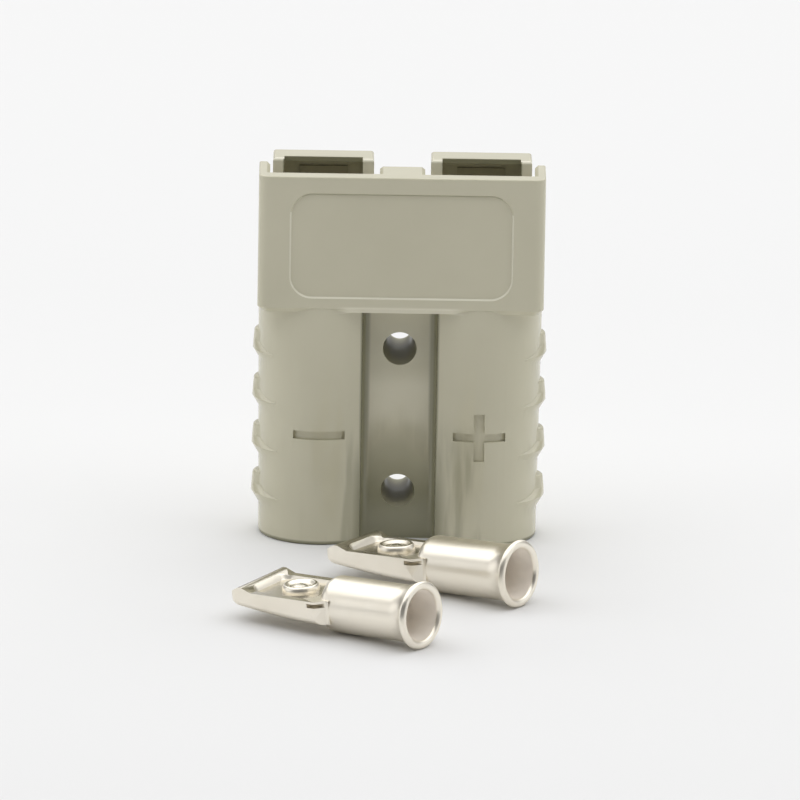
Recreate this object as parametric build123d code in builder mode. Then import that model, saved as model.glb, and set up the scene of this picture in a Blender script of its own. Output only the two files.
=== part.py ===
from build123d import *
import math
import os

os.makedirs("parts", exist_ok=True)

# A two-pole genderless power connector, standing on its wire end, with its two contacts lying loose in front.
# Z is up, z = 0 is the wire end, y = 0 is the mating plane, and -Y is the side that carries the hood.
# All sizes are in millimetres.

# Housing: overall
body_depth = 15.8           # hood face to the back of a mated hood
hood_width = 35.5           # outside of the mating box
rim_z = 47.2                # top of the hood
tip_z = 47.5                # top of the two tongues
underside_z = 29.8          # underside of the mating box
pole_x = 9.8                # each pole stands this far from the middle

# Hood, the shroud round the front half of the mating end
hood_wall = 2.4
side_wall = 1.35
hood_floor = 1.2            # floor of the mating cavity, measured up from the underside
plane_gap = 0.1             # hood walls stop this far short of the mating plane
block_width = 5.6           # middle block between the two cavities
block_back = 1.5            # the block stops this far short of the mating plane
hood_corner = 1.3
rim_round = 0.25
mouth_bevel = 0.4
underside_bevel = 0.65

# Tongues, the two channels that carry the contacts
mating_clearance = 0.2      # between a tongue and the mate's hood, all round
tongue_front = 0.4          # side walls of the channel begin this far behind the mating plane
trough_width = 9.75
trough_side = 1.4
tongue_back_wall = 1.2
tip_wall = 0.6
tip_lip = 1.6               # front edge of the tip wall, behind the mating plane
tip_ramp = 0.5              # height of the sloping seat under the tip wall
tongue_round = 0.4

# Barrels, where the wires enter
barrel_foot_r = 7.5
barrel_head_r = 7.85
foot_round = 0.35
wire_bore_r = 5.1
wire_bore_depth = 18.5
wire_lead_in = 0.6
blade_way_overlap = 0.8     # the blade's way starts this far below the end of the bore
slot_front = 1.7            # the blade's way reaches this far in front of the mating plane

# Grip ribs on the outer sides
rib_count = 4
rib_first_z = 3.8
rib_pitch = 6.1
rib_height = 4.0
rib_proud = 0.95            # beyond the foot of the barrel
rib_low_r = 6.5             # the low end wraps far round the barrel
rib_high_r = 2.4            # the upper part is narrow
rib_under = 1.5             # height of the sloping underside
rib_under_step = 0.9        # how much less proud the low end is
rib_flare = 0.9             # height over which the rib narrows above its underside
rib_flare_step = 0.05
rib_high_step = 0.2         # how much less proud the high end is
rib_top_round = 0.45

# Web and channel between the barrels
web_front = 3.3
channel_width = 9.1
channel_draft = 4.0         # degrees
channel_root = 1.0
hole_r = 1.55
hole_mouth_r = 2.1
hole_mouth_depth = 6.0      # the holes narrow over this length from the front
hole_low_z = 6.1
hole_spacing = 18.2

# Blank label panel on the hood
panel_width = 27.3
panel_height = 13.0
panel_z = 38.4
panel_corner = 2.6
panel_depth = 0.25
panel_bevel = 0.2

# Leaf springs
leaf_thickness = 0.4
leaf_width = 6.0
leaf_foot_z = 20.0
leaf_flat = 2.2             # straight end that lies against the tongue
leaf_bow = 1.0              # how far the middle stands off the tongue
leaf_tip_gap = 0.6          # under the sloping seat of the tip wall
leaf_tab = 1.0              # hooked foot
leaf_slot_clearance = 0.15
leaf_slot_depth = 1.15      # into the back wall, for the foot

# Contacts
contact_length = 26.6
contact_barrel_length = 14.0
contact_barrel_r = 3.5
contact_wall = 0.65
lip_r = 4.2
lip_length = 2.8            # the mouth flares out over this length
lip_round = 0.5
lip_roll = 0.25             # how much wider the bore is at the lip
crimp_end_wall = 2.2        # between the crimp bore and the end of the barrel
shoulder_round = 1.6
blade_width = 9.2
blade_overlap = 1.8         # the blade begins to widen this far short of the barrel's end
blade_flare = 1.0           # length over which it widens
blade_neck = 2.2            # the blade's root runs this far into the barrel
blade_corner = 1.7
blade_top = 1.4             # heights from the axis of the barrel
blade_under = 1.6
blade_heel = 18.2           # from the mouth of the barrel, where the underside rises
blade_heel_under = 1.35
blade_tip_under = 0.4
blade_tip_rise = 0.12       # slope of the underside at the tip
fold_round = 0.9            # round lower edge, where the tube was folded flat
crest_top = 1.95
crest_flat = 0.5
crest_slope = 1.4           # length of the slope behind the crest
crest_round = 0.7
nose_length = 1.8
nose_top = 1.0
nose_round = 0.5
valley_start = 14.6         # from the mouth of the barrel
valley_end = 23.4
valley_width = 6.8
valley_corner = 1.2
valley_floor = 1.0
valley_taper = 30.0         # degrees
ring_centre = 18.6          # from the mouth of the barrel
ring_root = 0.2             # how deep the ring runs into the blade
ring_foot_r = 2.35
ring_ridge_r = 1.85
ring_height = 0.95
cup_r = 1.15                # where the cup is deepest
cup_depth = 0.45            # below the ridge of the ring
pip_drop = 0.1              # top of the pip, below the ridge of the ring
seam_start = 0.1            # from where the blade begins to widen
seam_length = 2.0
seam_height = 0.5
seam_depth = 1.4
seam_cover = 0.3

# Where the mouth of each lying contact stands, which way it points, in degrees from -Y towards +X,
# and how far it has rolled over, in degrees
front_contact_x = 3.2
front_contact_y = -55.2
front_contact_turn = 53.0
front_contact_roll = 4.5
rear_contact_x = 15.2
rear_contact_y = -35.3
rear_contact_turn = 55.2
rear_contact_roll = 0.0

# Sizes that follow
half_depth = body_depth / 2
cavity_z = underside_z + hood_floor
tongue_width = trough_width + 2 * trough_side
tongue_back = half_depth - hood_wall - mating_clearance
trough_back = tongue_back - tongue_back_wall
cavity_outer_x = hood_width / 2 - side_wall
ramp_top_z = tip_z - tip_wall
ramp_foot_z = ramp_top_z - tip_ramp
leaf_tip_z = ramp_foot_z - leaf_tip_gap
blade_way_z = wire_bore_depth - blade_way_overlap
crimp_bore_r = contact_barrel_r - contact_wall
crimp_depth = contact_barrel_length - crimp_end_wall
margin = 1.0                # how far a cutting shape runs past the faces it cuts
through = body_depth + 2 * margin
touch = 0.01                # tolerance when edges are picked by place


# Hood: a box open to the back, cut out round a middle block
with BuildPart() as hood:
    with BuildSketch(Plane.XY.offset(underside_z)):
        with Locations((0, -half_depth)):
            Rectangle(hood_width, half_depth - plane_gap, align=(Align.CENTER, Align.MIN))
    extrude(amount=rim_z - underside_z)
    fillet(hood.edges().filter_by(Axis.Z).group_by(Axis.Y)[0], hood_corner)
    outer_edges = hood.edges().filter_by(lambda edge: edge.center().Y < -plane_gap - touch)
    chamfer(outer_edges.group_by(Axis.Z)[0], underside_bevel)
    outer_edges = hood.edges().filter_by(lambda edge: edge.center().Y < -plane_gap - touch)
    fillet(outer_edges.group_by(Axis.Z)[-1], rim_round)
    with BuildSketch(Plane.XY.offset(cavity_z)):
        with BuildLine():
            Polyline(
                (-cavity_outer_x, through),
                (-cavity_outer_x, -half_depth + hood_wall),
                (-block_width / 2, -half_depth + hood_wall),
                (-block_width / 2, -block_back),
                (block_width / 2, -block_back),
                (block_width / 2, -half_depth + hood_wall),
                (cavity_outer_x, -half_depth + hood_wall),
                (cavity_outer_x, through),
                close=True,
            )
        make_face()
    extrude(amount=tip_z, mode=Mode.SUBTRACT)
    rim_edges = hood.faces().filter_by(Plane.XY).sort_by(Axis.Z)[-1].edges()
    mouth_edges = rim_edges.filter_by(
        lambda edge: abs(edge.center().X) < cavity_outer_x + touch
        and edge.center().Y > -half_depth + hood_wall - touch
    )
    chamfer(mouth_edges, mouth_bevel)
    with BuildSketch(Plane.XZ.offset(half_depth)):
        with Locations((0, panel_z)):
            RectangleRounded(panel_width, panel_height, panel_corner)
    extrude(amount=-panel_depth, mode=Mode.SUBTRACT)
    front_face = hood.faces().filter_by(Plane.XZ).sort_by(Axis.Y)[0]
    chamfer(front_face.inner_wires()[0].edges(), panel_bevel)


# Tongue: a U-shaped channel, open towards the hood, rounded at its outer tip
with BuildPart() as tongue:
    with BuildSketch(Plane.XY.offset(underside_z)):
        with Locations((0, tongue_front)):
            Rectangle(tongue_width, tongue_back - tongue_front, align=(Align.CENTER, Align.MIN))
    extrude(amount=tip_z - underside_z)
    fillet(tongue.edges().filter_by(Axis.Z).group_by(Axis.Y)[-1], tongue_round)
    fillet(tongue.edges().group_by(Axis.Z)[-1], tongue_round)


# Grip rib: a narrow pad that flares out into a wide, sloping underside
rib_face_x = barrel_foot_r + rib_proud
with BuildPart() as rib:
    rib_outlines = (
        (0, rib_face_x - rib_under_step, rib_low_r),
        (rib_under, rib_face_x, rib_low_r),
        (rib_under + rib_flare, rib_face_x - rib_flare_step, rib_high_r),
        (rib_height, rib_face_x - rib_high_step, rib_high_r),
    )
    for lower, upper in zip(rib_outlines, rib_outlines[1:]):
        for level, face_x, round_r in (lower, upper):
            with BuildSketch(Plane.XY.offset(level)):
                with Locations((face_x - round_r, 0)):
                    Circle(round_r)
        loft()
    fillet(rib.edges().group_by(Axis.Z)[-1], rib_top_round)


# Barrel: a slightly tapered wire barrel with a row of grip ribs up its side
with BuildPart() as barrel:
    with BuildSketch(Plane.XZ):
        with BuildLine():
            foot = Line((0, 0), (barrel_foot_r - foot_round, 0))
            heel = RadiusArc(foot @ 1, (barrel_foot_r, foot_round), -foot_round)
            flank = Line(heel @ 1, (barrel_head_r, underside_z + hood_floor))
            head = Line(flank @ 1, (0, underside_z + hood_floor))
            Line(head @ 1, (0, 0))
        make_face()
    revolve(axis=Axis.Z)
    for number in range(rib_count):
        add(rib.part.moved(Location((0, 0, rib_first_z + number * rib_pitch))))


# Housing: the hood, tongues, barrels and web in one moulding, then the ways through it
with BuildPart() as housing:
    add(hood.part)
    with Locations((pole_x, 0, 0), (-pole_x, 0, 0)):
        add(tongue.part)
    with Locations((pole_x, 0, 0)):
        add(barrel.part)
    with Locations((-pole_x, 0, 0)):
        add(barrel.part.mirror(Plane.YZ))

    # Web between the barrels, flush with their heads at the back
    with BuildSketch(Plane.XY):
        with Locations((0, barrel_head_r)):
            Rectangle(2 * pole_x, barrel_head_r + web_front + channel_root, align=(Align.CENTER, Align.MAX))
    extrude(amount=cavity_z)

    # Channel in front of the web, with drafted walls and round roots
    channel_rise = barrel_head_r - web_front + margin
    channel_spread = channel_rise * math.tan(math.radians(channel_draft))
    with BuildSketch(Plane.XY) as channel:
        with BuildLine():
            Polyline(
                (-channel_width / 2 - channel_spread, -web_front - channel_rise),
                (-channel_width / 2, -web_front),
                (channel_width / 2, -web_front),
                (channel_width / 2 + channel_spread, -web_front - channel_rise),
                close=True,
            )
        make_face()
        fillet(channel.vertices().group_by(Axis.Y)[-1], channel_root)
    extrude(amount=underside_z, mode=Mode.SUBTRACT)

    # Mounting holes through the web, drafted wide at the front
    hole_draft = math.degrees(math.atan((hole_mouth_r - hole_r) / hole_mouth_depth))
    for hole_z in (hole_low_z, hole_low_z + hole_spacing):
        with BuildSketch(Plane.XZ.offset(-half_depth - margin)):
            with Locations((0, hole_z)):
                Circle(hole_r)
        extrude(amount=through, mode=Mode.SUBTRACT)
        with BuildSketch(Plane((0, -web_front, hole_z), x_dir=(1, 0, 0), z_dir=(0, 1, 0))):
            Circle(hole_mouth_r)
        extrude(amount=hole_mouth_depth, taper=hole_draft, mode=Mode.SUBTRACT)

    # Ways for the contacts: a round wire bore below, then a flat way up into the channel of each tongue
    for side in (-1, 1):
        pole = side * pole_x
        with BuildSketch(Plane((pole, 0, 0), x_dir=(1, 0, 0), z_dir=(0, -1, 0))):
            with BuildLine():
                Polyline(
                    (0, -margin),
                    (wire_bore_r + wire_lead_in + margin, -margin),
                    (wire_bore_r, wire_lead_in),
                    (wire_bore_r, wire_bore_depth),
                    (0, wire_bore_depth),
                    close=True,
                )
            make_face()
        revolve(axis=Axis((pole, 0, 0), (0, 0, 1)), mode=Mode.SUBTRACT)
        with BuildSketch(Plane.YZ.offset(pole)):
            with BuildLine():
                Polyline(
                    (-slot_front, blade_way_z),
                    (trough_back, blade_way_z),
                    (trough_back, ramp_foot_z),
                    (tip_lip, ramp_top_z),
                    (tip_lip, tip_z + margin),
                    (-slot_front, tip_z + margin),
                    close=True,
                )
            make_face()
        extrude(amount=trough_width / 2, both=True, mode=Mode.SUBTRACT)
        # Slot that takes the hooked foot of the leaf spring
        with BuildSketch(Plane.XY.offset(leaf_foot_z - leaf_slot_clearance)):
            with Locations((pole, trough_back - leaf_thickness)):
                Rectangle(
                    leaf_width + 2 * leaf_slot_clearance,
                    leaf_thickness + leaf_slot_depth,
                    align=(Align.CENTER, Align.MIN),
                )
        extrude(amount=leaf_thickness + 2 * leaf_slot_clearance, mode=Mode.SUBTRACT)
housing.part.label = "housing"
export_step(housing.part, "parts/housing.step")


# Leaf springs: a bowed steel strip behind each contact, hooked into the housing at its foot
for node, side in (("left_spring", -1), ("right_spring", 1)):
    with BuildPart() as leaf_spring:
        back_y = trough_back
        face_y = trough_back - leaf_thickness
        low_z = leaf_foot_z + leaf_flat
        high_z = leaf_tip_z - leaf_flat
        middle_z = (low_z + high_z) / 2
        with BuildSketch(Plane.YZ.offset(side * pole_x)):
            with BuildLine():
                tab_end = Line((back_y + leaf_tab, leaf_foot_z), (back_y + leaf_tab, leaf_foot_z + leaf_thickness))
                tab_top = Line(tab_end @ 1, (back_y, leaf_foot_z + leaf_thickness))
                foot_back = Line(tab_top @ 1, (back_y, low_z))
                bow_back = ThreePointArc(foot_back @ 1, (back_y - leaf_bow, middle_z), (back_y, high_z))
                tip_back = Line(bow_back @ 1, (back_y, leaf_tip_z))
                tip_end = Line(tip_back @ 1, (face_y, leaf_tip_z))
                tip_face = Line(tip_end @ 1, (face_y, high_z))
                bow_face = ThreePointArc(tip_face @ 1, (face_y - leaf_bow, middle_z), (face_y, low_z))
                foot_face = Line(bow_face @ 1, (face_y, leaf_foot_z))
                Line(foot_face @ 1, tab_end @ 0)
            make_face()
        extrude(amount=leaf_width / 2, both=True)
    leaf_spring.part.label = node
    export_step(leaf_spring.part, f"parts/{node}.step")


# Contact, along +X from the mouth of its barrel, with the barrel's axis at z = 0
with BuildPart() as contact:
    # Blade: flattened from the tube, with a crest and a nose at its tip
    neck_x = contact_barrel_length - blade_neck
    flare_start = contact_barrel_length - blade_overlap
    flare_end = flare_start + blade_flare
    crest_end = contact_length - nose_length
    crest_start = crest_end - crest_flat
    with BuildSketch(Plane.XZ) as blade_side:
        with BuildLine():
            under = Spline(
                (neck_x, -blade_under),
                (blade_heel, -blade_heel_under),
                (contact_length, -blade_tip_under),
                tangents=((1, 0), (1, blade_tip_rise)),
            )
            tip = Line(under @ 1, (contact_length, nose_top))
            nose = Line(tip @ 1, (crest_end, crest_top))
            crest = Line(nose @ 1, (crest_start, crest_top))
            slope = Line(crest @ 1, (crest_start - crest_slope, blade_top))
            valley = Line(slope @ 1, (neck_x, blade_top))
            Line(valley @ 1, under @ 0)
        make_face()
        fillet(blade_side.vertices().group_by(Axis.Y)[-1], crest_round)
        fillet(blade_side.vertices().group_by(Axis.X)[-1].sort_by(Axis.Y)[-1], nose_round)
    extrude(amount=blade_width / 2, both=True)
    with BuildSketch(Plane.XY) as blade_plan:
        with BuildLine():
            Polyline(
                (neck_x, -contact_barrel_r),
                (flare_start, -contact_barrel_r),
                (flare_end, -blade_width / 2),
                (contact_length, -blade_width / 2),
                (contact_length, blade_width / 2),
                (flare_end, blade_width / 2),
                (flare_start, contact_barrel_r),
                (neck_x, contact_barrel_r),
                close=True,
            )
        make_face()
        fillet(blade_plan.vertices().group_by(Axis.X)[-1], blade_corner)
    extrude(amount=contact_barrel_r, both=True, mode=Mode.INTERSECT)
    under_face = contact.faces().sort_by(Axis.Z)[0]
    fold_edges = under_face.edges().filter_by(lambda edge: edge.center().X > flare_end - touch)
    fillet(fold_edges, fold_round)

    # Open seams at the two edges, where the tube was folded flat
    for side in (-1, 1):
        with BuildSketch(Plane.XZ.offset(side * (blade_width / 2 - seam_depth))):
            with Locations((flare_start + seam_start, blade_top - seam_cover)):
                Rectangle(seam_length, seam_height, align=(Align.MIN, Align.MAX))
        extrude(amount=side * (seam_depth + margin), mode=Mode.SUBTRACT)

    # Shallow valley between the folded edges, and in it a raised ring with a pip in its cup
    with BuildSketch(Plane.XY.offset(valley_floor)):
        with Locations(((valley_start + valley_end) / 2, 0)):
            RectangleRounded(valley_end - valley_start, valley_width, valley_corner)
    extrude(amount=crest_top - valley_floor + margin, taper=-valley_taper, mode=Mode.SUBTRACT)
    ridge_z = valley_floor + ring_height
    with BuildSketch(Plane.XZ):
        with BuildLine():
            ring_side = Spline(
                (ring_centre + ring_foot_r, valley_floor - ring_root),
                (ring_centre + ring_ridge_r, ridge_z),
                (ring_centre + cup_r, ridge_z - cup_depth),
                (ring_centre, ridge_z - pip_drop),
                tangents=((0, 1), (-1, 0), (-1, 0), (-1, 0)),
            )
            pip_axis = Line(ring_side @ 1, (ring_centre, valley_floor - ring_root))
            Line(pip_axis @ 1, ring_side @ 0)
        make_face()
    revolve(axis=Axis((ring_centre, 0, 0), (0, 0, 1)))

    # Wire barrel with a rolled lip and a blind crimp bore
    with BuildSketch(Plane.XZ):
        with BuildLine():
            end_face = Line((contact_barrel_length, 0), (contact_barrel_length, contact_barrel_r - shoulder_round))
            end_round = RadiusArc(
                end_face @ 1, (contact_barrel_length - shoulder_round, contact_barrel_r), -shoulder_round
            )
            flank = Line(end_round @ 1, (lip_length, contact_barrel_r))
            flare = TangentArc(flank @ 1, (lip_round, lip_r), tangent=(-1, 0))
            mouth = ThreePointArc(
                flare @ 1, (0, (lip_r + crimp_bore_r + lip_roll) / 2), (lip_round, crimp_bore_r + lip_roll)
            )
            bore = Line(mouth @ 1, (lip_length, crimp_bore_r))
            bore_wall = Line(bore @ 1, (crimp_depth, crimp_bore_r))
            bore_end = Line(bore_wall @ 1, (crimp_depth, 0))
            Line(bore_end @ 1, end_face @ 0)
        make_face()
    revolve(axis=Axis.X)
    # The blade's root is cleared out of the crimp bore
    with BuildSketch(Plane.YZ):
        Circle(crimp_bore_r)
    extrude(amount=crimp_depth, mode=Mode.SUBTRACT)

# The contacts lie on their lips and shoulders, so the barrel dips towards the blade
lean = math.atan((lip_r - contact_barrel_r) / (contact_barrel_length - shoulder_round - lip_round))
mouth_height = lip_r * math.cos(lean) + lip_round * math.sin(lean)
for node, mouth_x, mouth_y, turn, roll in (
    ("front_contact", front_contact_x, front_contact_y, front_contact_turn, front_contact_roll),
    ("rear_contact", rear_contact_x, rear_contact_y, rear_contact_turn, rear_contact_roll),
):
    with BuildPart() as lying_contact:
        rolled = Location((0, 0, 0), (-roll, 0, 0))
        lying = Location((0, 0, mouth_height), (0, math.degrees(lean), 0))
        turned = Location((mouth_x, mouth_y, 0), (0, 0, 90 + turn))
        add(contact.part.moved(rolled).moved(lying).moved(turned))
    lying_contact.part.label = node
    export_step(lying_contact.part, f"parts/{node}.step")
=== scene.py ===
import math

import bmesh
import bpy
from mathutils import Matrix, Quaternion, Vector


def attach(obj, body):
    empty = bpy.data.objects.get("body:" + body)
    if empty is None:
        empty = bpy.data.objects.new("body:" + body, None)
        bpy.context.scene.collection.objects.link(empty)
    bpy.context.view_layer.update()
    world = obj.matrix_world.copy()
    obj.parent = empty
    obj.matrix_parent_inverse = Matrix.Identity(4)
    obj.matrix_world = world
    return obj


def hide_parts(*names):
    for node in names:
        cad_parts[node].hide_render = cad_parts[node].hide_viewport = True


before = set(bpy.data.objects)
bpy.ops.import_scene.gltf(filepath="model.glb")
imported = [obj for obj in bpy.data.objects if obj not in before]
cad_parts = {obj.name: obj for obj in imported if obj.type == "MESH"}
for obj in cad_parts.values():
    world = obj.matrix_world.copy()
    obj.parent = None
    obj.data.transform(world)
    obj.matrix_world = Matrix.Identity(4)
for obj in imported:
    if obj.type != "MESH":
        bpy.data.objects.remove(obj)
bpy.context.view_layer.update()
bpy.context.scene.view_settings.view_transform = "Standard"


# Camera: a long lens a little above the housing, and turned slightly, so that the picture leans clockwise.
camera_data = bpy.data.cameras.new("camera")
camera = bpy.data.objects.new("camera", camera_data)
bpy.context.scene.collection.objects.link(camera)
bpy.context.scene.camera = camera
camera_data.sensor_width = 36.0
camera_data.lens = 723.7
camera_data.clip_start = 0.1
camera_data.clip_end = 10.0
camera.location = Vector((-0.00805, -1.93715, 0.52038))
camera_aim = Vector((0.00015, 0.0, 0.01685))
camera_lean = math.radians(0.938)
camera.rotation_mode = "QUATERNION"
camera.rotation_quaternion = (camera_aim - camera.location).to_track_quat("-Z", "Y") @ Quaternion(
    (0, 0, 1), camera_lean
)


# Studio: a pale sheet of paper under one wide soft light, with weak soft lights at both sides and behind.
# The paper is matt, and its tone is a little darker behind the housing: painted shade. It takes the soft shadows of
# all the pieces.
# The light behind stands low, so that surfaces that face up mirror it at a flat angle.
paper_half = 2.0
paper_corners = [(-1, -1), (1, -1), (1, 1), (-1, 1)]
paper_mesh = bpy.data.meshes.new("paper")
paper_mesh.from_pydata([(x * paper_half, y * paper_half, 0.0) for x, y in paper_corners], [], [(0, 1, 2, 3)])
paper = bpy.data.objects.new("paper", paper_mesh)
bpy.context.scene.collection.objects.link(paper)
paper_material = bpy.data.materials.new("paper")
paper_material.use_nodes = True
paper_shader = paper_material.node_tree.nodes["Principled BSDF"]
paper_shader.inputs["Roughness"].default_value = 0.9
paper_shader.inputs["Specular IOR Level"].default_value = 0.1
paper_place = paper_material.node_tree.nodes.new("ShaderNodeTexCoord")
paper_split = paper_material.node_tree.nodes.new("ShaderNodeSeparateXYZ")
paper_fade = paper_material.node_tree.nodes.new("ShaderNodeMapRange")
paper_fade.inputs["From Min"].default_value = 0.0
paper_fade.inputs["From Max"].default_value = 0.12
# Painted shade: the paper's tone darkens from the front value to a lower one behind.
paper_tone = paper_material.node_tree.nodes.new("ShaderNodeMix")
paper_tone.data_type = "RGBA"
paper_tone.inputs["A"].default_value = (0.815, 0.815, 0.815, 1)
paper_tone.inputs["B"].default_value = (0.785, 0.785, 0.785, 1)
paper_links = paper_material.node_tree.links
paper_links.new(paper_place.outputs["Object"], paper_split.inputs["Vector"])
paper_links.new(paper_split.outputs["Y"], paper_fade.inputs["Value"])
paper_links.new(paper_fade.outputs["Result"], paper_tone.inputs["Factor"])
paper_links.new(paper_tone.outputs["Result"], paper_shader.inputs["Base Color"])
paper_mesh.materials.append(paper_material)

studio = bpy.data.worlds.new("studio")
bpy.context.scene.world = studio
studio.use_nodes = True
studio_back = studio.node_tree.nodes["Background"]
studio_back.inputs["Color"].default_value = (0.12, 0.12, 0.12, 1)
studio_back.inputs["Strength"].default_value = 1.0


def add_softbox(name, place, facing, width, height, watts):
    data = bpy.data.lights.new(name, "AREA")
    data.shape = "RECTANGLE"
    data.size = width
    data.size_y = height
    data.energy = watts
    lamp = bpy.data.objects.new(name, data)
    bpy.context.scene.collection.objects.link(lamp)
    lamp.location = place
    lamp.rotation_mode = "QUATERNION"
    lamp.rotation_quaternion = (Vector(facing) - Vector(place)).to_track_quat("-Z", "Y")


add_softbox("overhead_light", (0.0, 0.25, 0.6), (0, 0.25, 0), 1.6, 1.5, 10.8)
add_softbox("left_light", (-0.8, 0.0, 0.25), (0, 0, 0.25), 0.8, 0.4, 1.05)
add_softbox("right_light", (0.8, 0.0, 0.25), (0, 0, 0.25), 0.8, 0.4, 1.05)
add_softbox("back_light", (0.0, 1.4, 0.48), (0, 0, 0.05), 2.4, 0.8, 3.1)


# Housing: one moulding in warm grey polycarbonate, with a slightly uneven satin gloss.
# The polarity signs are sunk into its wire barrels by the mould, and their floors follow the barrels' round.
# Its edges are broken by the mould's own small radii.
def add_merged_copy(node, name, flatten=True):
    """A copy of a node's mesh with its triangles joined, and where asked, its flat faces made whole."""
    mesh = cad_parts[node].data.copy()
    piece = bpy.data.objects.new(name, mesh)
    bpy.context.scene.collection.objects.link(piece)
    mesh.materials.clear()
    work = bmesh.new()
    work.from_mesh(mesh)
    bmesh.ops.remove_doubles(work, verts=work.verts, dist=1e-7)
    if flatten:
        bmesh.ops.dissolve_limit(work, angle_limit=math.radians(0.2), verts=work.verts, edges=work.edges)
    work.to_mesh(mesh)
    work.free()
    return piece


sign_floor_r = 0.0072


def add_sign_cutter(name, outline, barrel_x):
    """A prism of the sign's outline, from in front of the barrel to a round floor inside its wall."""
    front_y, back_y = -0.0095, -0.004
    core_height = 0.03
    work = bmesh.new()
    front = [work.verts.new((x, front_y, z)) for x, z in outline]
    back = [work.verts.new((x, back_y, z)) for x, z in outline]
    work.faces.new(front)
    work.faces.new(list(reversed(back)))
    for here in range(len(outline)):
        there = (here + 1) % len(outline)
        work.faces.new((front[here], back[here], back[there], front[there]))
    bmesh.ops.recalc_face_normals(work, faces=work.faces)
    mesh = bpy.data.meshes.new(name)
    work.to_mesh(mesh)
    work.free()
    cutter = bpy.data.objects.new(name, mesh)
    bpy.context.scene.collection.objects.link(cutter)
    core_work = bmesh.new()
    bmesh.ops.create_cone(
        core_work, cap_ends=True, segments=180, radius1=sign_floor_r, radius2=sign_floor_r, depth=core_height
    )
    core_mesh = bpy.data.meshes.new(name + "_core")
    core_work.to_mesh(core_mesh)
    core_work.free()
    core_mesh.transform(Matrix.Translation((barrel_x, 0, core_height / 2)))
    core = bpy.data.objects.new(name + "_core", core_mesh)
    bpy.context.scene.collection.objects.link(core)
    round_floor = cutter.modifiers.new("round_floor", "BOOLEAN")
    round_floor.operation = "DIFFERENCE"
    round_floor.solver = "EXACT"
    round_floor.object = core
    bpy.context.view_layer.update()
    cutter_mesh = bpy.data.meshes.new_from_object(cutter.evaluated_get(bpy.context.evaluated_depsgraph_get()))
    cutter.modifiers.clear()
    cutter.data = cutter_mesh
    bpy.data.objects.remove(core)
    return cutter


housing = add_merged_copy("housing", "housing_body")
barrel_x = 0.0098
sign_z = 0.01405
bar_half = 0.00055
minus_left, minus_right = -0.01308, -0.00668
minus_outline = [
    (minus_left, sign_z - bar_half),
    (minus_right, sign_z - bar_half),
    (minus_right, sign_z + bar_half),
    (minus_left, sign_z + bar_half),
]
plus_x = 0.0100
plus_arm, plus_rise, stem_half = 0.00325, 0.00305, 0.00065
plus_outline = [
    (plus_x - plus_arm, sign_z - bar_half),
    (plus_x - stem_half, sign_z - bar_half),
    (plus_x - stem_half, sign_z - plus_rise),
    (plus_x + stem_half, sign_z - plus_rise),
    (plus_x + stem_half, sign_z - bar_half),
    (plus_x + plus_arm, sign_z - bar_half),
    (plus_x + plus_arm, sign_z + bar_half),
    (plus_x + stem_half, sign_z + bar_half),
    (plus_x + stem_half, sign_z + plus_rise),
    (plus_x - stem_half, sign_z + plus_rise),
    (plus_x - stem_half, sign_z + bar_half),
    (plus_x - plus_arm, sign_z + bar_half),
]
minus_cutter = add_sign_cutter("minus_cutter", minus_outline, -barrel_x)
plus_cutter = add_sign_cutter("plus_cutter", plus_outline, barrel_x)
for cutter in (minus_cutter, plus_cutter):
    sunk = housing.modifiers.new("sunk_sign", "BOOLEAN")
    sunk.operation = "DIFFERENCE"
    sunk.solver = "EXACT"
    sunk.object = cutter
bpy.context.view_layer.update()
housing_mesh = bpy.data.meshes.new_from_object(housing.evaluated_get(bpy.context.evaluated_depsgraph_get()))
housing.modifiers.clear()
housing.data = housing_mesh
for cutter in (minus_cutter, plus_cutter):
    bpy.data.objects.remove(cutter)
housing_mesh.shade_smooth()
housing_mesh.set_sharp_from_angle(angle=math.radians(28))
housing_mesh.materials.clear()
moulded_slot, highlight_slot, crease_shade_slot, hole_slot = range(4)
for slot in (moulded_slot, highlight_slot, crease_shade_slot, hole_slot):
    housing_mesh.materials.append(None)
housing_rounding = housing.modifiers.new("rounding", "BEVEL")
housing_rounding.limit_method = "ANGLE"
housing_rounding.angle_limit = math.radians(40)
housing_rounding.width = 0.00012
housing_rounding.segments = 2
housing_rounding.use_clamp_overlap = True
# The bevels take the painted highlight; the concave ones are moved to the painted shade further on.
housing_rounding.material = highlight_slot
housing_even = housing.modifiers.new("even_shade", "WEIGHTED_NORMAL")
housing_even.mode = "FACE_AREA"
housing_even.keep_sharp = True
bpy.context.view_layer.update()
housing_mesh = bpy.data.meshes.new_from_object(housing.evaluated_get(bpy.context.evaluated_depsgraph_get()))
housing.modifiers.clear()
housing.data = housing_mesh


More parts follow.
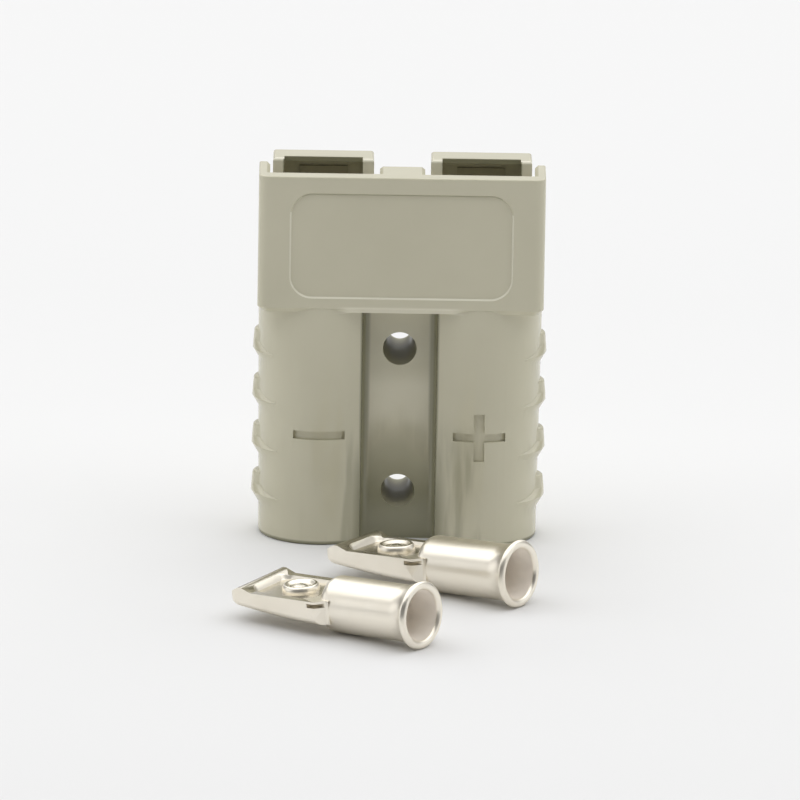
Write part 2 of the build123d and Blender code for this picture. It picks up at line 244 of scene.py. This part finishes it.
def add_cloudy_tone():
    """A shader group: two tones of one finish, mixed in soft clouds, and the clouds themselves as a mask."""
    group = bpy.data.node_groups.new("cloudy_tone", "ShaderNodeTree")
    group.interface.new_socket("Place", in_out="INPUT", socket_type="NodeSocketVector")
    group.interface.new_socket("Scale", in_out="INPUT", socket_type="NodeSocketFloat")
    group.interface.new_socket("First Tone", in_out="INPUT", socket_type="NodeSocketColor")
    group.interface.new_socket("Second Tone", in_out="INPUT", socket_type="NodeSocketColor")
    group.interface.new_socket("Tone", in_out="OUTPUT", socket_type="NodeSocketColor")
    group.interface.new_socket("Clouds", in_out="OUTPUT", socket_type="NodeSocketFloat")
    nodes, links = group.nodes, group.links
    come_in = nodes.new("NodeGroupInput")
    go_out = nodes.new("NodeGroupOutput")
    noise = nodes.new("ShaderNodeTexNoise")
    noise.inputs["Detail"].default_value = 3.0
    spread = nodes.new("ShaderNodeMapRange")
    spread.inputs["From Min"].default_value = 0.3
    spread.inputs["From Max"].default_value = 0.7
    mix = nodes.new("ShaderNodeMix")
    mix.data_type = "RGBA"
    links.new(come_in.outputs["Place"], noise.inputs["Vector"])
    links.new(come_in.outputs["Scale"], noise.inputs["Scale"])
    links.new(noise.outputs["Fac"], spread.inputs["Value"])
    links.new(spread.outputs["Result"], mix.inputs["Factor"])
    links.new(come_in.outputs["First Tone"], mix.inputs["A"])
    links.new(come_in.outputs["Second Tone"], mix.inputs["B"])
    links.new(mix.outputs["Result"], go_out.inputs["Tone"])
    links.new(spread.outputs["Result"], go_out.inputs["Clouds"])
    return group


def add_fine_relief():
    """A shader group: a fine, even grain as a bump, for moulded, plated and rolled surfaces."""
    group = bpy.data.node_groups.new("fine_relief", "ShaderNodeTree")
    group.interface.new_socket("Place", in_out="INPUT", socket_type="NodeSocketVector")
    group.interface.new_socket("Scale", in_out="INPUT", socket_type="NodeSocketFloat")
    group.interface.new_socket("Depth", in_out="INPUT", socket_type="NodeSocketFloat")
    group.interface.new_socket("Normal", in_out="OUTPUT", socket_type="NodeSocketVector")
    nodes, links = group.nodes, group.links
    come_in = nodes.new("NodeGroupInput")
    go_out = nodes.new("NodeGroupOutput")
    noise = nodes.new("ShaderNodeTexNoise")
    noise.inputs["Detail"].default_value = 4.0
    bump = nodes.new("ShaderNodeBump")
    bump.inputs["Strength"].default_value = 1.0
    links.new(come_in.outputs["Place"], noise.inputs["Vector"])
    links.new(come_in.outputs["Scale"], noise.inputs["Scale"])
    links.new(noise.outputs["Fac"], bump.inputs["Height"])
    links.new(come_in.outputs["Depth"], bump.inputs["Distance"])
    links.new(bump.outputs["Normal"], go_out.inputs["Normal"])
    return group


cloudy_tone = add_cloudy_tone()
fine_relief = add_fine_relief()


def add_finish(name, tones, cloud_scale, roughness, grain_scale, grain_depth, metallic=0.0):
    """A material whose tone and gloss drift in clouds, over a fine grain."""
    material = bpy.data.materials.new(name)
    material.use_nodes = True
    nodes, links = material.node_tree.nodes, material.node_tree.links
    shader = nodes["Principled BSDF"]
    shader.inputs["Metallic"].default_value = metallic
    place = nodes.new("ShaderNodeTexCoord")
    tone = nodes.new("ShaderNodeGroup")
    tone.name = "tone"
    tone.node_tree = cloudy_tone
    tone.inputs["Scale"].default_value = cloud_scale
    tone.inputs["First Tone"].default_value = (*tones[0], 1)
    tone.inputs["Second Tone"].default_value = (*tones[1], 1)
    gloss = nodes.new("ShaderNodeMapRange")
    gloss.name = "gloss"
    gloss.inputs["To Min"].default_value = roughness[0]
    gloss.inputs["To Max"].default_value = roughness[1]
    relief = nodes.new("ShaderNodeGroup")
    relief.name = "relief"
    relief.node_tree = fine_relief
    relief.inputs["Scale"].default_value = grain_scale
    relief.inputs["Depth"].default_value = grain_depth
    links.new(place.outputs["Object"], tone.inputs["Place"])
    links.new(place.outputs["Object"], relief.inputs["Place"])
    links.new(tone.outputs["Tone"], shader.inputs["Base Color"])
    links.new(tone.outputs["Clouds"], gloss.inputs["Value"])
    links.new(gloss.outputs["Result"], shader.inputs["Roughness"])
    links.new(relief.outputs["Normal"], shader.inputs["Normal"])
    return material


polycarbonate_ior = 1.58
moulding = add_finish(
    "moulded_polycarbonate", ((0.585, 0.557, 0.415), (0.625, 0.595, 0.45)), 70.0, (0.12, 0.20), 900.0, 0.000004
)
moulding.node_tree.nodes["Principled BSDF"].inputs["IOR"].default_value = polycarbonate_ior


def add_painted_light_masks(material):
    """Painted shade and dark painted reflections, and painted light, as masks over the housing's place."""
    nodes, links = material.node_tree.nodes, material.node_tree.links
    place = nodes.new("ShaderNodeTexCoord")
    split = nodes.new("ShaderNodeSeparateXYZ")
    links.new(place.outputs["Object"], split.inputs["Vector"])

    def fade(value, nothing, full):
        """A mask that rises smoothly from 0 where the value is at nothing to 1 where it is at full."""
        ramp = nodes.new("ShaderNodeMapRange")
        ramp.interpolation_type = "SMOOTHSTEP"
        ramp.inputs["From Min"].default_value = nothing
        ramp.inputs["From Max"].default_value = full
        links.new(value, ramp.inputs["Value"])
        return ramp.outputs["Result"]

    def combine(operation, *values):
        result = values[0]
        for value in values[1:]:
            step = nodes.new("ShaderNodeMath")
            step.operation = operation
            links.new(result, step.inputs[0])
            if isinstance(value, float):
                step.inputs[1].default_value = value
            else:
                links.new(value, step.inputs[1])
            result = step.outputs["Value"]
        return result

    def add_noise(vector, scale, detail):
        noise = nodes.new("ShaderNodeTexNoise")
        noise.inputs["Scale"].default_value = scale
        noise.inputs["Detail"].default_value = detail
        links.new(vector, noise.inputs["Vector"])
        return noise.outputs["Fac"]

    def lay_over(below, colour, mask):
        mix = nodes.new("ShaderNodeMix")
        mix.data_type = "RGBA"
        mix.inputs["B"].default_value = colour
        links.new(mask, mix.inputs["Factor"])
        links.new(below, mix.inputs["A"])
        return mix.outputs["Result"]

    depth, height = split.outputs["Y"], split.outputs["Z"]
    absolute = nodes.new("ShaderNodeMath")
    absolute.operation = "ABSOLUTE"
    links.new(split.outputs["X"], absolute.inputs[0])
    off_middle = absolute.outputs["Value"]
    stretch = nodes.new("ShaderNodeMapping")
    stretch.inputs["Scale"].default_value = (1.0, 1.0, 0.12)
    links.new(place.outputs["Object"], stretch.inputs["Vector"])
    patch_noise = add_noise(place.outputs["Object"], 110.0, 2.0)
    streak = add_noise(stretch.outputs["Vector"], 420.0, 3.0)
    in_front = fade(depth, -0.001, -0.003)

    # Painted shade low in the channel, with an uneven upper edge.
    uneven_height = combine("ADD", combine("MULTIPLY", patch_noise, 0.008), height)
    channel_foot = combine(
        "MULTIPLY", fade(uneven_height, 0.0190, 0.0085), fade(off_middle, 0.0068, 0.0044), in_front, 0.9
    )
    # Painted shade along both roots of the channel, up to the underside of the mating box.
    channel_roots = combine(
        "MULTIPLY",
        fade(off_middle, 0.0035, 0.0040),
        fade(off_middle, 0.0050, 0.0047),
        fade(height, 0.0299, 0.0296),
        in_front,
        0.85,
    )
    # Painted reflections of the contacts: upright dark streaks low on the barrels, on the halves that face each
    # other.
    dark_reflection_streaks = combine(
        "MULTIPLY",
        fade(streak, 0.45, 0.62),
        fade(height, 0.0175, 0.0100),
        fade(off_middle, 0.0125, 0.0100),
        in_front,
        0.42,
    )
    # Painted shade on the insides of the tongues, between their side walls and up to just under their tips.
    tongue_insides = combine(
        "MULTIPLY",
        fade(depth, 0.00405, 0.00395),
        fade(depth, -0.0045, -0.0040),
        fade(height, 0.0325, 0.0340),
        fade(height, 0.04745, 0.04740),
        fade(off_middle, 0.0049, 0.0051),
        fade(off_middle, 0.0149, 0.0147),
    )
    # A line of painted shade along the edge that the housing stands on.
    foot_edge = combine("MULTIPLY", fade(height, 0.0006, 0.0003), 0.95)
    # Together these are painted shade and dark painted reflections.
    painted_shade_and_reflection = combine("MAXIMUM", channel_foot, channel_roots, dark_reflection_streaks, foot_edge, tongue_insides)

    # Painted light in patches on the middle of the web.
    light_web_patches = combine(
        "MULTIPLY",
        fade(off_middle, 0.0042, 0.0036),
        fade(height, 0.0105, 0.0140),
        fade(height, 0.0225, 0.0190),
        fade(patch_noise, 0.30, 0.55),
        in_front,
        0.6,
    )
    # Painted light on the front ends of the tongues' side walls, which lie in shade behind the hood.
    trough_ends = combine(
        "MULTIPLY", fade(depth, 0.0009, 0.0007), fade(depth, 0.0001, 0.0003), fade(height, 0.0400, 0.0430)
    )
    # A painted highlight on the low front edge of the mating box, over the channel.
    low_box_edge = combine(
        "MULTIPLY",
        fade(height, 0.0308, 0.0304),
        fade(height, 0.0296, 0.0298),
        fade(depth, -0.0066, -0.0071),
        fade(off_middle, 0.0085, 0.0060),
    )
    # Together these are painted light.
    painted_light = combine("MAXIMUM", light_web_patches, trough_ends, low_box_edge)

    # The painted light is laid over the tone first, then the painted shade and dark painted reflections.
    lit_tone = lay_over(nodes["tone"].outputs["Tone"], (0.80, 0.77, 0.63, 1), painted_light)
    shaded_tone = lay_over(lit_tone, (0.25, 0.242, 0.155, 1), painted_shade_and_reflection)
    links.new(shaded_tone, nodes["Principled BSDF"].inputs["Base Color"])


add_painted_light_masks(moulding)

# Edges that stand out carry a painted highlight, in a lighter and smoother finish, and inner corners a line of
# painted shade.
painted_edge_highlight = add_finish(
    "painted_edge_highlight", ((0.72, 0.695, 0.56), (0.76, 0.735, 0.60)), 90.0, (0.10, 0.16), 900.0, 0.000003
)
painted_edge_highlight.node_tree.nodes["Principled BSDF"].inputs["IOR"].default_value = polycarbonate_ior
painted_crease_shade = add_finish(
    "painted_crease_shade", ((0.36, 0.34, 0.235), (0.44, 0.42, 0.30)), 150.0, (0.35, 0.5), 900.0, 0.000004
)
# Painted shade for the walls of the mounting holes: a darker, duller tone.
painted_hole_shade = add_finish(
    "painted_hole_shade", ((0.38, 0.36, 0.24), (0.45, 0.43, 0.30)), 260.0, (0.30, 0.42), 900.0, 0.00001
)
painted_hole_shade.node_tree.nodes["Principled BSDF"].inputs["Specular IOR Level"].default_value = 0.3

# The sunk panel's sloping edge lies within these bounds on the front of the mating box.
panel_edge_y = (-0.00788, -0.00762)
panel_edge_z = (0.0312, 0.0456)
panel_edge_x = 0.0142
hole_heights = (0.0061, 0.0243)
hole_mouth_r = 0.00212
face_work = bmesh.new()
face_work.from_mesh(housing_mesh)
for face in face_work.faces:
    # Convex bevels keep the painted highlight; concave ones take the painted shade instead.
    if face.material_index == highlight_slot:
        bend = sum(edge.calc_face_angle_signed(0.0) for edge in face.edges)
        face.material_index = highlight_slot if bend > 0 else crease_shade_slot
    middle = face.calc_center_median()
    on_panel_edge = (
        panel_edge_y[0] < middle.y < panel_edge_y[1]
        and panel_edge_z[0] < middle.z < panel_edge_z[1]
        and abs(middle.x) < panel_edge_x
        and abs(face.normal.y) < 0.95
    )
    # On the sunk panel's edge, faces turned up or sideways take the painted highlight and faces turned down the
    # painted shade.
    if on_panel_edge and face.normal.z > -0.1:
        face.material_index = highlight_slot
    elif on_panel_edge and face.normal.z < -0.62:
        face.material_index = crease_shade_slot
    # The walls of the two mounting holes take their painted shade.
    for hole_z in hole_heights:
        off_axis = math.hypot(middle.x, middle.z - hole_z)
        if off_axis < hole_mouth_r and abs(face.normal.y) < 0.5:
            face.material_index = hole_slot
face_work.to_mesh(housing_mesh)
face_work.free()
for slot, finish in zip(
    (moulded_slot, highlight_slot, crease_shade_slot, hole_slot), (moulding, painted_edge_highlight, painted_crease_shade, painted_hole_shade)
):
    housing_mesh.materials[slot] = finish
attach(housing, "root")
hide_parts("housing")


# Leaf springs: strips of stainless steel, bowed on a press and dulled by it. Their tone is darker and warmer than
# steel's: painted shade, as they lie in the shade inside the tongues.
# Each is hooked into a slot in the back wall of its tongue. The CAD nodes have the whole form already.
spring_steel = add_finish(
    "spring_steel", ((0.31, 0.29, 0.22), (0.36, 0.34, 0.26)), 180.0, (0.40, 0.55), 2500.0, 0.000002, metallic=1.0
)
for node in ("left_spring", "right_spring"):
    spring_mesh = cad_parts[node].data
    spring_mesh.materials.clear()
    spring_mesh.materials.append(spring_steel)


# Contacts: copper tube, belled at the mouth, pressed flat at the other end and plated with bright silver.
# The pressed flats are smoother than the barrel, and their darker tone is a painted reflection of the dark housing.
# The plating is thin and dull inside the
# crimp bore, where the copper shows through it; its pale, near-white tone there is painted light, so that the bore's
# wall reads as lit.
silver_plate = add_finish(
    "silver_plate", ((0.93, 0.88, 0.775), (0.89, 0.835, 0.72)), 140.0, (0.29, 0.39), 1400.0, 0.000006, metallic=1.0
)
# A darker copy of the silver for the blade's up-facing flats: painted reflection of the dark housing.
pressed_silver = add_finish(
    "pressed_silver", ((0.66, 0.625, 0.545), (0.58, 0.55, 0.475)), 320.0, (0.18, 0.30), 1400.0, 0.000006, metallic=1.0
)
# Near-white tone inside the bore: painted light.
crimp_bore = add_finish(
    "dull_crimp_bore", ((0.99, 0.93, 0.84), (0.96, 0.89, 0.80)), 500.0, (0.7, 0.9), 3000.0, 0.00002
)
lip_r, barrel_r, lip_round = 0.0042, 0.0035, 0.0005
lip_to_heel = 0.0119
contact_lean = math.atan((lip_r - barrel_r) / lip_to_heel)
mouth_height = lip_r * math.cos(contact_lean) + lip_round * math.sin(contact_lean)
bore_start, bore_end, bore_wall_r = 0.0004, 0.0119, 0.00318
blade_start = 0.0148
floor_margin = 0.001
plated_slot, bore_slot, pressed_slot = range(3)


def add_contact(node, name, mouth_x, mouth_y, turn):
    """A contact that lies on its lip and heel, with its mouth at the given place and turned by so many degrees."""
    contact = add_merged_copy(node, name, flatten=False)
    mesh = contact.data
    mesh.shade_smooth()
    mesh.set_sharp_from_angle(angle=math.radians(30))
    rounding = contact.modifiers.new("rounding", "BEVEL")
    rounding.limit_method = "ANGLE"
    rounding.angle_limit = math.radians(50)
    rounding.width = 0.0001
    rounding.segments = 3
    rounding.use_clamp_overlap = True
    even = contact.modifiers.new("even_shade", "WEIGHTED_NORMAL")
    even.mode = "FACE_AREA"
    even.keep_sharp = True
    bpy.context.view_layer.update()
    mesh = bpy.data.meshes.new_from_object(contact.evaluated_get(bpy.context.evaluated_depsgraph_get()))
    contact.modifiers.clear()
    contact.data = mesh
    mesh.materials.clear()
    for finish in (silver_plate, crimp_bore, pressed_silver):
        mesh.materials.append(finish)
    heading = math.radians(turn)
    mouth = Vector((mouth_x, mouth_y, mouth_height))
    along = Vector(
        (
            -math.sin(heading) * math.cos(contact_lean),
            math.cos(heading) * math.cos(contact_lean),
            -math.sin(contact_lean),
        )
    )
    for face in mesh.polygons:
        reach = (face.center - mouth).dot(along)
        radius = (face.center - mouth - along * reach).length
        if bore_start < reach < bore_end and radius < bore_wall_r:
            face.material_index = bore_slot
        # Up-facing flats of the blade take the darker copy, with its painted reflection.
        elif reach > blade_start and face.normal.z > 0.85 and face.center.z > floor_margin:
            face.material_index = pressed_slot
        else:
            face.material_index = plated_slot
    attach(contact, "root")
    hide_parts(node)


add_contact("front_contact", "front_silver_contact", 0.0032, -0.0552, 53.0)
add_contact("rear_contact", "rear_silver_contact", 0.0152, -0.0353, 55.2)
